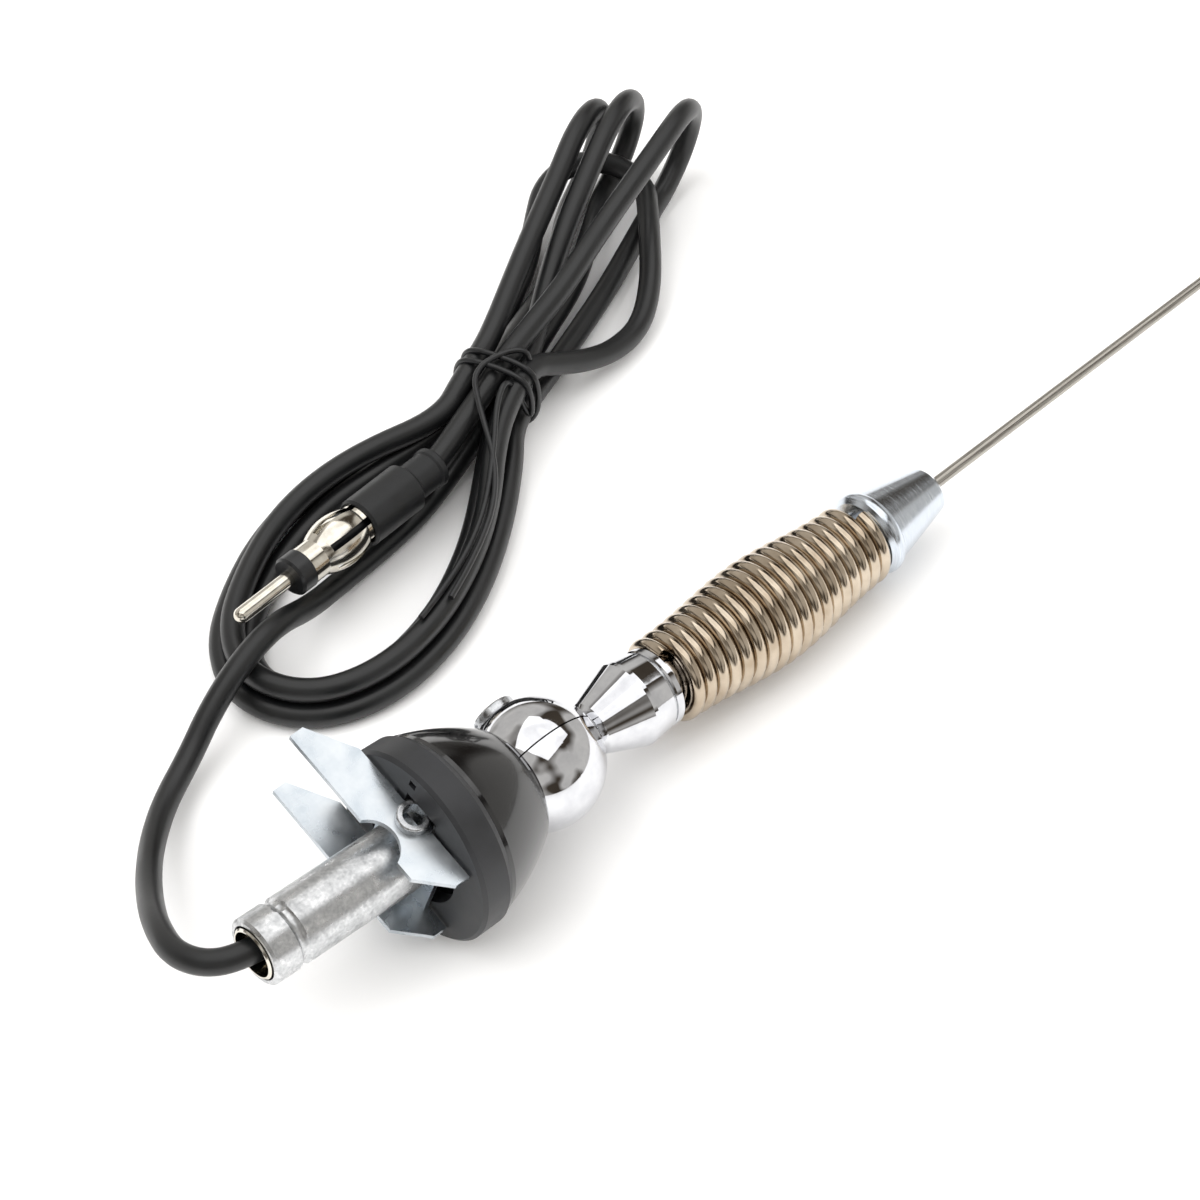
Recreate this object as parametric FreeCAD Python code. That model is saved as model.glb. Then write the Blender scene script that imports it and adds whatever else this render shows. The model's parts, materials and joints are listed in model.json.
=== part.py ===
"""Spring-whip vehicle antenna with a knuckle base, a clamp claw and a coaxial lead.

Units are millimetres. The antenna lies on a flat surface, as it does on a bench.
Origin: where the mount tube's axis crosses the gasket's mounting face.
+X runs level along the whip, +Z is up, +Y is the side on which the lead is laid.

Base pieces are drawn along a local +X axis that runs from the mounting face to the
ball, then rolled about that axis and tipped nose-down until the gasket's rim and the
spring's widest coil both touch the surface.
"""
import FreeCAD, Part
import math
import os
from FreeCAD import Placement, Rotation, Vector

# ---- driving dimensions -------------------------------------------------------
# base
gasket_diameter = 40.0
gasket_height = 7.2
gasket_recess_diameter = 23.0
gasket_edge = 1.2                # height of the rounded front edge
bell_foot_diameter = 38.0
bell_rim_diameter = 25.4
bell_wall = 2.4
bell_bulge = 0.5                 # of its wall, off a straight cone
bell_plate = 3.2
mount_recess_depth = 3.0
ball_diameter = 26.0
ball_centre_height = 31.0        # above the mounting face
ball_rim_drop = 8.2              # from the ball's centre down to the bell's rim
base_roll = 14.1                 # degrees about the base axis, as it comes to rest

# mount tube and what is in it
tube_diameter = 13.5
tube_wall = 1.2
tube_length = 36.4               # below the mounting face
tube_flange_diameter = 18.0
tube_flange = 1.2
tube_groove_from_end = 6.6
tube_groove_depth = 0.55
tube_groove_width = 2.2
punch_marks = 3
punch_diameter = 3.2
punch_depth = 0.9
punch_turn = -25.0                # degrees from local +Z to the first mark
stem_diameter = 6.0
insulator_flange = 3.0
stem_nut_flats = 8.0
stem_nut_height = 3.6
lug_thickness = 0.8
sleeve_length = 16.0
sleeve_stand_out = 0.5
sleeve_mouth_diameter = 9.2
sleeve_crimp_depth = 7.0         # from the sleeve's mouth to its crimped stretch

# clamp claw
claw_sheet = 1.2
claw_half_width = 10.9           # axis to a flange's outer face
claw_depth = 8.9                 # along the tube
claw_near_reach = 13.4
claw_far_reach = 26.8
claw_horn_root = 17.8
claw_horn_drop = 5.9
claw_chamfer = 5.6
claw_web_margin = 1.45           # beyond the tube, each side
claw_notch_width = 10.2
claw_notch_depth = 3.4
claw_gap = 0.4                   # to the mounting face, at rest
claw_travel = 14.0
bush_diameter = 6.6
bush_bore = 4.4
bush_height = 1.8
bush_shift = 1.2                 # off the flange's middle, towards the horns
bush_drop = 1.2                  # below the flange's gasket edge

# knuckle pivot
knuckle_gap = 0.3
pivot_diameter = 5.0
pivot_depth = 9.5                # of its thread in the near half-ball
pivot_head_diameter = 9.2
pivot_head_stand_out = 0.7
pivot_head_seat = 8.6
pivot_washer = 0.7
friction_disc_diameter = 16.0
friction_disc_thickness = 0.9

# mast
neck_diameter = 11.0
neck_gap = 0.5
shoulder_diameter = 17.8
shoulder_height = 22.8           # above the ball's centre
cone_top_diameter = 16.8
cone_height = 28.3               # above the ball's centre
lock_washer = 0.9
lock_washer_diameter = 15.6
plug_flange = 1.4
plug_flange_diameter = 16.6
stud_diameter = 6.0
stud_length = 9.0
spring_length = 58.8
spring_wire = 3.0
spring_turns = 18
spring_base_diameter = 18.8
spring_belly_diameter = 23.0
spring_top_diameter = 18.4
spring_fullness = 2.6            # the higher, the shorter the belly
plug_engagement = 10.0
ferrule_length = 19.4
ferrule_ring = 3.6
ferrule_ring_diameter = 18.0
ferrule_shoulder_diameter = 16.8
ferrule_tip_diameter = 10.2
whip_length = 290.0              # beyond the ferrule
whip_root_diameter = 2.5
whip_tip_diameter = 1.6
whip_socket = 14.0
tip_bead_diameter = 4.0

# lead and plug
coax_diameter = 5.0
lead_start_depth = 6.4           # the lead starts to bend this far inside the tube's end
plug_pin_diameter = 3.3
plug_pin_length = 15.0
plug_pin_root_diameter = 2.9     # inside the collar and the shell
plug_insulator_diameter = 8.6
plug_insulator_length = 3.8
plug_shell_diameter = 8.2        # at the collar
plug_shell_tail_diameter = 9.2   # at the boot
plug_shell_belly = 11.4
plug_shell_belly_at = 6.5        # from the boot
plug_shell_belly_end = 12.5
plug_shell_length = 16.4
plug_shell_wall = 0.5
plug_slots = 6
plug_slot_width = 1.6
plug_slot_end = 11.0             # from the boot
plug_boot_diameter = 10.9
plug_boot_length = 15.0
plug_sleeve_diameter = 8.2
plug_sleeve_length = 8.0
tie_wire = 1.5

# fits and clearances
running_clearance = 0.1          # radial, between pieces that turn or slide
seat_clearance = 0.05            # radial, between pieces that are fixed together
open_clearance = 0.35            # between surfaces that pass each other
surface_clearance = 0.05         # between the lying antenna and the surface

# ---- worked-out sizes ---------------------------------------------------------
ball_radius = ball_diameter / 2
gasket_radius = gasket_diameter / 2
tube_radius = tube_diameter / 2
tube_bore = tube_radius - tube_wall
coax_radius = coax_diameter / 2
claw_web_half = tube_radius + claw_web_margin
spring_start = cone_height + lock_washer + plug_flange        # above the ball's centre
rest_x, rest_radius = gasket_height - gasket_edge, gasket_radius - 0.1     # the gasket's edge that touches
belly_lever = ball_centre_height + spring_start + 0.375 * spring_length - rest_x
belly_rest = spring_belly_diameter / 2 + 0.12      # the belly's lowest point lies a little past its middle
base_tip = (math.atan2(rest_radius, belly_lever)
            - math.asin(belly_rest / math.hypot(rest_radius, belly_lever)))      # radians
surface_z = -rest_x * math.sin(base_tip) - rest_radius * math.cos(base_tip) - surface_clearance

X_AXIS, Y_AXIS, Z_AXIS = Vector(1, 0, 0), Vector(0, 1, 0), Vector(0, 0, 1)
ORIGIN = Vector(0, 0, 0)
roll = Rotation(X_AXIS, base_roll)
tip = Rotation(Y_AXIS, math.degrees(base_tip))
base_place = Placement(ORIGIN, tip.multiply(roll))
ball_centre = base_place.multVec(Vector(ball_centre_height, 0, 0))


# ---- shape helpers ------------------------------------------------------------
def turned(profile):
    """A solid turned about +X from (x, radius) points; a bulge is (x, r, 'arc', x_mid, r_mid)."""
    edges = []
    points = [Vector(p[0], 0, p[1]) for p in profile]
    for here, there, entry in zip(points, points[1:] + points[:1], profile):
        if len(entry) > 2:
            edges.append(Part.Arc(here, Vector(entry[3], 0, entry[4]), there).toShape())
        else:
            edges.append(Part.LineSegment(here, there).toShape())
    return Part.Face(Part.Wire(edges)).revolve(ORIGIN, X_AXIS, 360)


def rod(radius, start, end):
    """A plain cylinder along +X."""
    return Part.makeCylinder(radius, end - start, Vector(start, 0, 0), X_AXIS)


def ring(outer, inner, start, end):
    """A washer or sleeve along +X."""
    return rod(outer, start, end).cut(rod(inner, start - 1, end + 1))


def block(x, y, z):
    """A box from three (low, high) pairs."""
    return Part.makeBox(x[1] - x[0], y[1] - y[0], z[1] - z[0], Vector(x[0], y[0], z[0]))


def plate(points, z_low, thickness):
    """A flat plate parallel to XY with the outline given by (x, y) points."""
    corners = [Vector(x, y, z_low) for x, y in points]
    return Part.Face(Part.makePolygon(corners + corners[:1])).extrude(Vector(0, 0, thickness))


def hex_prism(flats, start, end):
    """A hexagonal bar along +X."""
    radius = flats / math.sqrt(3)
    corners = [Vector(start, radius * math.cos(i * math.pi / 3), radius * math.sin(i * math.pi / 3))
               for i in range(6)]
    return Part.Face(Part.makePolygon(corners + corners[:1])).extrude(Vector(end - start, 0, 0))


def write(name, shape, place=None):
    """Puts a piece in its place and writes it as one STEP file."""
    solids = shape.Solids
    shape = solids[0] if len(solids) == 1 else Part.makeCompound(solids)
    if place is not None:
        shape.Placement = place.multiply(shape.Placement)
    shape.exportStep("parts/%s.step" % name)
    print("%-20s solids %d  volume %9.1f  valid %s" % (name, len(solids), shape.Volume, shape.isValid()))
    return shape


# ---- base ---------------------------------------------------------------------
bush_centre_x = -claw_gap - bush_drop
bush_tab_radius = bush_diameter / 2 + 0.7


def base_gasket():
    """Rubber ring between bell and panel, with a pocket for the claw's bush and a blind peg hole."""
    outer = gasket_radius
    body = turned([(0, gasket_recess_diameter / 2), (0, outer - 0.7), (0.7, outer),
                   (gasket_height - gasket_edge, outer - 0.1), (gasket_height, outer - 0.9),
                   (gasket_height, gasket_recess_diameter / 2)])
    pocket = Part.makeCylinder(bush_tab_radius + open_clearance, outer,
                               Vector(bush_centre_x, bush_shift, 0), Z_AXIS)
    pocket = pocket.common(block((-5, mount_recess_depth), (-9, 9),
                                 (0, claw_half_width + bush_height + open_clearance)))
    peg_hole = block((-1, 2.2), (4.0, 5.6), (15.6, 17.2))
    return body.cut(pocket).cut(peg_hole)


def base_bell():
    """Glossy dome: foot plate, curved wall and a round seat for the ball."""
    foot = bell_foot_diameter / 2
    rim = bell_rim_diameter / 2
    rim_x = ball_centre_height - ball_rim_drop
    spigot = gasket_recess_diameter / 2 - seat_clearance
    low = mount_recess_depth
    inner_foot = foot - bell_wall
    cavity_top = ball_centre_height - ball_radius - open_clearance - bell_wall
    cavity_top_radius = rim - bell_wall
    stem_hole = stem_diameter / 2 + running_clearance
    shell = turned([(low, stem_hole), (low, spigot), (gasket_height, spigot), (gasket_height, foot),
                    (gasket_height + 1.0, foot, "arc", (gasket_height + rim_x) / 2 + bell_bulge, (foot + rim) / 2 + bell_bulge),
                    (rim_x - 0.8, rim), (rim_x, rim - 0.8), (rim_x, stem_hole)])
    cavity = turned([(low + bell_plate, 0), (low + bell_plate, inner_foot - 4.6),
                     (gasket_height + 1.8, inner_foot - 0.8), (cavity_top, cavity_top_radius - 1.0),
                     (cavity_top, 0)])
    boss = ring(stem_diameter / 2 + 2.2, stem_hole, low + bell_plate, cavity_top)
    seat = Part.makeSphere(ball_radius + open_clearance, Vector(ball_centre_height, 0, 0), Y_AXIS)
    return shell.cut(cavity.cut(boss)).cut(seat)


def base_knuckle():
    """Chromed half-ball on the near side, with the threaded stem that holds the base together."""
    centre = Vector(ball_centre_height, 0, 0)
    half_gap = knuckle_gap / 2
    big = 3 * ball_diameter
    near_side = block((-big, big), (-big, -half_gap), (-big, big))
    ball = Part.makeSphere(ball_radius, centre, Y_AXIS).common(near_side)
    stem_end = -insulator_flange - lug_thickness - stem_nut_height - 1.5
    stem = rod(stem_diameter / 2, stem_end, ball_centre_height - ball_radius / 2)
    far_sweep = Part.makeSphere(ball_radius + open_clearance, centre, Y_AXIS).cut(near_side)
    knuckle = ball.fuse(stem.cut(far_sweep))
    thread = Part.makeCylinder(pivot_diameter / 2 + seat_clearance, pivot_depth, centre - Y_AXIS * pivot_depth,
                               Y_AXIS)
    disc_seat = Part.makeCylinder(friction_disc_diameter / 2 + seat_clearance,
                                  friction_disc_thickness, centre - Y_AXIS * friction_disc_thickness, Y_AXIS)
    return knuckle.cut(thread).cut(disc_seat)


def friction_disc():
    """Fibre disc let into the near half-ball; the far half bears on it."""
    centre = Vector(ball_centre_height, -friction_disc_thickness, 0)
    disc = Part.makeCylinder(friction_disc_diameter / 2, friction_disc_thickness, centre, Y_AXIS)
    hole = Part.makeCylinder(pivot_diameter / 2 + open_clearance, 3, centre - Y_AXIS, Y_AXIS)
    return disc.cut(hole)


def pivot_screw():
    """Cheese-head screw through the ball, from the far side."""
    centre = Vector(ball_centre_height, 0, 0)
    head_low = pivot_head_seat + pivot_washer
    head_top = ball_radius + pivot_head_stand_out
    shank = Part.makeCylinder(pivot_diameter / 2, head_low + pivot_depth - 0.5,
                              centre - Y_AXIS * (pivot_depth - 0.5), Y_AXIS)
    head = Part.makeCylinder(pivot_head_diameter / 2, head_top - head_low, centre + Y_AXIS * head_low, Y_AXIS)
    rim = [edge for edge in head.Edges if abs(edge.CenterOfMass.y - head_top) < 1e-3]
    head = head.makeFillet(0.6, rim)
    slot = block((ball_centre_height - 6, ball_centre_height + 6), (head_top - 1.3, head_top + 1), (-0.6, 0.6))
    return shank.fuse(head).cut(slot)


def pivot_washer_ring():
    """Spring washer under the pivot screw's head."""
    start = ball_centre_height
    low = Vector(start, pivot_head_seat + seat_clearance, 0)
    height = pivot_washer - seat_clearance
    disc = Part.makeCylinder(pivot_head_diameter / 2 - 0.3, height, low, Y_AXIS)
    return disc.cut(Part.makeCylinder(pivot_diameter / 2 + running_clearance, height, low, Y_AXIS))


def mount_tube():
    """Plated tube below the panel: flange under the bell, crimp groove and punch marks near its end."""
    top = mount_recess_depth
    end = -tube_length
    groove = end + tube_groove_from_end
    half = tube_groove_width / 2
    lip = stem_diameter / 2 + seat_clearance + 1.2
    body = turned([(top, lip), (top, tube_flange_diameter / 2), (top - tube_flange, tube_flange_diameter / 2),
                   (top - tube_flange, tube_radius),
                   (groove + half, tube_radius, "arc", groove, tube_radius - tube_groove_depth),
                   (groove - half, tube_radius), (end + 0.5, tube_radius), (end, tube_radius - 0.5),
                   (end, tube_bore), (top - tube_flange, tube_bore), (top - tube_flange, lip)])
    depth = tube_radius + punch_diameter / 2 - punch_depth
    for i in range(punch_marks):
        angle = math.radians(punch_turn + 360 / punch_marks * i)
        mark = Vector(groove, -depth * math.sin(angle), depth * math.cos(angle))
        body = body.cut(Part.makeSphere(punch_diameter / 2, mark))
    return body


def stem_insulator():
    """Nylon bush that keeps the stem clear of the tube."""
    top = mount_recess_depth
    seat = top - tube_flange
    neck = stem_diameter / 2 + 1.2
    bore = stem_diameter / 2 + seat_clearance
    return turned([(top, bore), (top, neck), (seat, neck), (seat, tube_bore - seat_clearance),
                   (-insulator_flange, tube_bore - seat_clearance), (-insulator_flange, bore)])


def contact_lug():
    """Brass ring and tail that the coax core is soldered to."""
    start = -insulator_flange - lug_thickness
    washer = ring(tube_bore - 0.6, stem_diameter / 2 + seat_clearance, start, start + lug_thickness)
    tail_z = -(tube_bore - 0.6)
    tail = block((start - 6, start + lug_thickness), (-0.9, 0.9), (tail_z, tail_z + 0.5))
    return washer.fuse(tail)


def stem_nut():
    """Hex nut on the stem's end, inside the tube."""
    start = -insulator_flange - lug_thickness - stem_nut_height
    return hex_prism(stem_nut_flats, start, start + stem_nut_height).cut(
        rod(stem_diameter / 2 + seat_clearance, start - 1, start + stem_nut_height + 1))


def lead_sleeve():
    """Plated sleeve crimped on the lead inside the tube's mouth."""
    start = -tube_length - sleeve_stand_out
    outer = tube_bore - open_clearance
    mouth = sleeve_mouth_diameter / 2
    grip = coax_radius + seat_clearance
    crimp = start + sleeve_crimp_depth
    return turned([(start, mouth), (start, outer - 0.3), (start + 0.3, outer), (start + sleeve_length, outer),
                   (start + sleeve_length, grip), (crimp + 1.2, grip), (crimp, mouth)])


def lead_inner():
    """The stretch of coax inside the tube, with its bared dielectric and core."""
    start = -tube_length + lead_start_depth
    end = -tube_length - sleeve_stand_out + sleeve_length + 2
    jacket = rod(coax_radius, start, end)
    dielectric = rod(1.4, end, end + 3.5)
    core = rod(0.45, end + 3.5, end + 6.0)
    return jacket.fuse(dielectric).fuse(core)


# ---- clamp claw ---------------------------------------------------------------
def claw_bracket():
    """U-shaped spring-steel claw: two horned flanges joined by a web that slides on the tube."""
    edge = -claw_gap
    foot = edge - claw_depth
    outline = [(edge, -claw_near_reach), (edge - 3.0, -claw_near_reach),
               (foot, -claw_near_reach + claw_chamfer), (foot, claw_far_reach),
               (edge - claw_horn_drop, claw_far_reach + 0.2), (edge, claw_horn_root)]
    notch_radius = (claw_notch_width ** 2 / 4 + claw_notch_depth ** 2) / (2 * claw_notch_depth)
    notch = Part.makeCylinder(notch_radius, 4 * claw_half_width,
                              Vector(foot + claw_notch_depth - notch_radius, bush_shift, -2 * claw_half_width),
                              Z_AXIS)
    inner = claw_half_width - claw_sheet
    upper = plate(outline, inner, claw_sheet)
    tab = Part.makeCylinder(bush_tab_radius, claw_sheet, Vector(bush_centre_x, bush_shift, inner), Z_AXIS)
    lower = plate(outline, -claw_half_width, claw_sheet)
    web = block((edge - claw_sheet, edge), (-claw_web_half, claw_web_half), (-inner - 0.5, inner + 0.5))
    bore = rod(tube_radius + running_clearance, -2 * claw_depth, 2)
    bush_seat = Part.makeCylinder(bush_diameter / 2 - 0.6, 3 * claw_sheet,
                                  Vector(bush_centre_x, bush_shift, inner - claw_sheet), Z_AXIS)
    bracket = upper.fuse(tab).fuse(lower).fuse(web).cut(notch).cut(bore).cut(bush_seat)
    return bracket.removeSplitter()


def claw_bush():
    """Rolled bush pressed into the upper flange; it registers in the gasket's pocket."""
    low = claw_half_width - claw_sheet
    centre = Vector(bush_centre_x, bush_shift, 0)
    neck = Part.makeCylinder(bush_diameter / 2 - 0.6 - seat_clearance, claw_sheet, centre + Z_AXIS * low, Z_AXIS)
    head = Part.makeCylinder(bush_diameter / 2, bush_height - seat_clearance,
                             centre + Z_AXIS * (claw_half_width + seat_clearance), Z_AXIS)
    top = claw_half_width + bush_height
    rim = [edge for edge in head.Edges if abs(edge.CenterOfMass.z - top) < 1e-3]
    head = head.makeFillet(0.5, rim)
    bore = Part.makeCylinder(bush_bore / 2, 4 * bush_height, centre + Z_AXIS * (low - 1), Z_AXIS)
    link = Part.makeCylinder(bush_diameter / 2 - 0.6 - seat_clearance, 1, centre + Z_AXIS * (top - bush_height - 0.5),
                             Z_AXIS)
    return neck.fuse(link).fuse(head).cut(bore)


# ---- mast ---------------------------------------------------------------------
def mast_knuckle():
    """Chromed half-ball on the far side, with the cone that carries the spring."""
    centre = Vector(ball_centre_height, 0, 0)
    half_gap = knuckle_gap / 2
    big = 3 * ball_diameter
    far_side = block((-big, big), (half_gap, big), (-big, big))
    ball = Part.makeSphere(ball_radius, centre, Y_AXIS).common(far_side)
    neck_x = ball_centre_height + ball_radius + neck_gap
    shoulder_x = ball_centre_height + shoulder_height
    top_x = ball_centre_height + cone_height
    cone = turned([(ball_centre_height + ball_radius / 2, 0), (ball_centre_height + ball_radius / 2, 4.6),
                   (neck_x - 1.0, 4.6), (neck_x, neck_diameter / 2), (shoulder_x, shoulder_diameter / 2),
                   (shoulder_x + 0.9, shoulder_diameter / 2), (top_x, cone_top_diameter / 2), (top_x, 0)])
    near_sweep = Part.makeSphere(ball_radius + open_clearance, centre, Y_AXIS).cut(far_side)
    knuckle = ball.fuse(cone.cut(near_sweep))
    stud_hole = rod(stud_diameter / 2 + seat_clearance, top_x - stud_length - 1, top_x + 1)
    shank_hole = Part.makeCylinder(pivot_diameter / 2 + running_clearance, ball_radius, centre, Y_AXIS)
    head_seat = Part.makeCylinder(pivot_head_diameter / 2 + 0.3, ball_radius, centre + Y_AXIS * pivot_head_seat,
                                  Y_AXIS)
    return knuckle.cut(stud_hole).cut(shank_hole).cut(head_seat)


def lock_washer_ring():
    """Toothed-washer blank between cone and spring plug."""
    start = ball_centre_height + cone_height
    return ring(lock_washer_diameter / 2, stud_diameter / 2 + seat_clearance, start, start + lock_washer)


def spring_plug():
    """Lower spring plug: stud into the cone, flange, and a body that the coils grip."""
    flange_x = ball_centre_height + cone_height + lock_washer
    end = flange_x + plug_flange
    body_radius = spring_base_diameter / 2 - spring_wire - 0.3
    return turned([(flange_x - lock_washer - stud_length, 0), (flange_x - lock_washer - stud_length, stud_diameter / 2),
                   (flange_x, stud_diameter / 2), (flange_x, plug_flange_diameter / 2 - 0.3),
                   (flange_x + 0.3, plug_flange_diameter / 2), (end, plug_flange_diameter / 2), (end, body_radius),
                   (end + plug_engagement, body_radius), (end + plug_engagement, 0)])


def spring_axis(distance):
    """Point and slope of the spring's centreline: it straightens evenly from the base's tip to level."""
    start = ball_centre + base_place.Rotation.multVec(X_AXIS) * spring_start
    share = distance / spring_length
    slope = base_tip * (1 - share)
    run = distance
    drop = base_tip * (distance - distance ** 2 / (2 * spring_length))
    return start + Vector(run * math.cos(base_tip / 2), 0, -drop), slope


def coil_radius(distance):
    """Radius to the wire's centre: slim ends, a full belly in the middle."""
    share = distance / spring_length
    ends = (spring_base_diameter * (1 - share) + spring_top_diameter * share) / 2
    belly = (spring_belly_diameter - (spring_base_diameter + spring_top_diameter) / 2) / 2
    bulge = math.sin(math.pi * share) ** spring_fullness
    return ends + belly * bulge - spring_wire / 2


def mast_spring():
    """Close-wound barrel spring swept along its gently bent centreline."""
    steps = 20
    total = spring_turns * steps
    points = []
    for i in range(total + 1):
        angle = 2 * math.pi * i / steps
        distance = spring_wire / 2 + (spring_length - spring_wire) * i / total
        centre, slope = spring_axis(distance)
        radius = coil_radius(distance)
        outward = Vector(math.sin(slope) * math.cos(angle), math.sin(angle), math.cos(slope) * math.cos(angle))
        points.append(centre + outward * radius)
    curve = Part.BSplineCurve()
    curve.interpolate(points)
    spine = Part.Wire(curve.toShape())
    start = curve.value(curve.FirstParameter)
    tangent = curve.tangent(curve.FirstParameter)[0]
    section = Part.Wire(Part.makeCircle(spring_wire / 2, start, tangent))
    return spine.makePipeShell([section], True, True)


def upper_ferrule():
    """Satin ferrule: plug into the spring, rounded ring, taper, and a socket for the whip."""
    body_radius = spring_top_diameter / 2 - spring_wire - 0.3
    ring_radius = ferrule_ring_diameter / 2
    return turned([(-plug_engagement, 0), (-plug_engagement, body_radius), (0, body_radius), (0, ring_radius - 0.9),
                   (0.9, ring_radius, "arc", ferrule_ring / 2, ring_radius + 0.25),
                   (ferrule_ring - 0.5, ring_radius - 0.1), (ferrule_ring, ferrule_shoulder_diameter / 2),
                   (ferrule_length - 0.6, ferrule_tip_diameter / 2), (ferrule_length, ferrule_tip_diameter / 2 - 0.6),
                   (ferrule_length, whip_root_diameter / 2 + seat_clearance),
                   (ferrule_length - whip_socket - 0.5, whip_root_diameter / 2 + seat_clearance),
                   (ferrule_length - whip_socket - 0.5, 0)])


def whip():
    """Tapered stainless rod."""
    start = ferrule_length - whip_socket
    end = ferrule_length + whip_length
    return turned([(start, 0), (start, whip_root_diameter / 2), (ferrule_length, whip_root_diameter / 2),
                   (end, whip_tip_diameter / 2), (end, 0)])


def tip_bead():
    """Small bead that blunts the whip's end."""
    end = ferrule_length + whip_length
    bead = Part.makeSphere(tip_bead_diameter / 2, Vector(end - 0.4, 0, 0))
    bore = turned([(end - 8, 0), (end - 8, whip_tip_diameter / 2 + 0.1), (end, whip_tip_diameter / 2 + 0.02),
                   (end, 0)])
    return bead.cut(bore)


# ---- coaxial lead -------------------------------------------------------------
lead_exit = base_place.multVec(Vector(-tube_length + lead_start_depth, 0, 0))
hank_tie_point = Vector(95.2, 83.0, surface_z)
hank_heading = math.radians(22.7)
hank_along = Vector(math.cos(hank_heading), math.sin(hank_heading), 0)
hank_across = Vector(-math.sin(hank_heading), math.cos(hank_heading), 0)
hank_face = -12.0                # where the bundle starts, measured from the tie
hank_foot = 2.0                  # the waist's underside, over the tie's wire
waist_half = 8.4                 # half the waist's width under the tie
waist_top = 17.2
ring_height = 10.0               # two strands deep


def in_hank(along, across, height):
    """A point given along and across the hank from its tie, and above the surface."""
    return hank_tie_point + hank_along * along + hank_across * across + Vector(0, 0, height)


def on_surface(x, y, height):
    """A point given by its place and its height above the surface."""
    return Vector(x, y, surface_z + height)


# the uncoiled stretch, from the sleeve to the bundle's face
lead_route = [lead_exit,
              Vector(-37.3, 0.7, 3.8),
              Vector(-43.4, 3.4, 4.0),
              Vector(-46.2, 9.8, 2.8),
              Vector(-44.2, 18.0, -0.4),
              on_surface(-40.2, 26.4, 14.97),
              on_surface(-34.9, 34.8, 10.37),
              on_surface(-28.4, 42.6, 6.57),
              on_surface(-20.6, 49.4, 4.17),
              on_surface(-11.0, 54.2, 4.67),
              on_surface(-2.2, 57.6, 9.17),
              on_surface(8.0, 60.2, 12.97),
              on_surface(18.4, 62.8, 12.97),
              on_surface(29.0, 66.0, 6.27),
              on_surface(39.0, 68.8, 3.47),
              on_surface(50.6, 70.2, 2.87),
              on_surface(62.4, 71.8, 3.17),
              on_surface(73.7, 75.0, 4.27),
              in_hank(hank_face, 0.4, 4.9)]


def rounded_path(points, label):
    """Straight runs joined by tangent arcs as large as the runs allow; prints the radii."""
    edges = []
    radii = []
    here = points[0]
    for before, corner, after in zip(points, points[1:], points[2:]):
        into = (corner - before).normalize()
        out = (after - corner).normalize()
        turn = into.getAngle(out)
        reach = 0.45 * min((corner - before).Length, (after - corner).Length)
        radius = reach / math.tan(turn / 2)
        start = corner - into * reach
        end = corner + out * reach
        inward = (out - into).normalize()
        middle = corner + inward * (radius / math.cos(turn / 2) - radius)
        edges.append(Part.LineSegment(here, start).toShape())
        edges.append(Part.Arc(start, middle, end).toShape())
        radii.append(round(radius, 1))
        here = end
    edges.append(Part.LineSegment(here, points[-1]).toShape())
    path = Part.Wire(edges)
    print(label, "length %.1f" % path.Length, "radii", radii)
    return path


def coax_lead():
    """The uncoiled stretch as a plain round tube."""
    path = rounded_path(lead_route, "coax_lead")
    start = (lead_route[1] - lead_route[0]).normalize()
    section = Part.Wire(Part.makeCircle(coax_radius, lead_route[0], start))
    swept = path.makePipeShell([section], True, False, 2)
    ideal = math.pi * coax_radius ** 2 * path.Length
    print("coax_lead volume over ideal %.4f" % (swept.Volume / ideal))
    return swept


def smooth_outline(stations, height):
    """A closed smooth outline through (along, across) stations of the hank, at one height."""
    curve = Part.BSplineCurve()
    curve.interpolate(Points=[in_hank(s, w, height) for s, w in stations], PeriodicFlag=True)
    return Part.Wire(curve.toShape())


def coax_hank():
    """Outer shape of the tied hank: an open oval of turns, the tied waist and the fanned loops."""
    outside = [(hank_face, 16.0), (-26.0, 23.6), (-41.0, 30.0), (-56.0, 31.4), (-70.0, 29.4), (-82.0, 24.4),
               (-91.4, 14.6), (-94.2, 4.6), (-89.4, -7.6), (-78.0, -16.2), (-60.0, -20.6), (-40.0, -19.4),
               (-24.0, -15.4), (hank_face, -11.8)]
    inside = [(hank_face - 10, 9.2), (-34.0, 15.2), (-48.0, 19.8), (-62.0, 20.2), (-74.0, 15.8), (-81.4, 9.2),
              (-82.6, 3.0), (-76.0, -4.2), (-62.0, -9.6), (-48.0, -9.8), (-34.0, -7.0), (hank_face - 10, -3.4)]
    oval = Part.Face(smooth_outline(outside, 0.05)).extrude(Vector(0, 0, ring_height))
    hole = Part.Face(smooth_outline(inside, -1)).extrude(Vector(0, 0, ring_height + 3))
    behind_face = Part.makeBox(60, 80, 60, Vector(hank_face, -40, -10))
    behind_face.Placement = Placement(hank_tie_point, Rotation(Z_AXIS, math.degrees(hank_heading)))
    oval = oval.cut(hole).cut(behind_face)
    sections = []
    for s, w_low, w_high, z_low, z_high in ((hank_face, -11.8, 14.4, 0.2, 16.0),
                                            (-5.0, -waist_half, waist_half, hank_foot, waist_top),
                                            (6.0, -waist_half, waist_half, hank_foot, waist_top),
                                            (26.0, -19.0, 15.0, 0.2, 22.4), (50.0, -20.4, 18.0, 0.2, 27.2),
                                            (76.0, -14.6, 19.4, 0.2, 29.6), (93.0, -10.2, 12.0, 4.4, 27.0)):
        corners = [in_hank(s, w_low, z_low), in_hank(s, w_high, z_low), in_hank(s, w_high, z_high),
                   in_hank(s, w_low, z_high)]
        sections.append(Part.makePolygon(corners + corners[:1]))
    bundle = Part.makeLoft(sections, True, True)
    return oval.fuse(bundle).removeSplitter()


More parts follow.
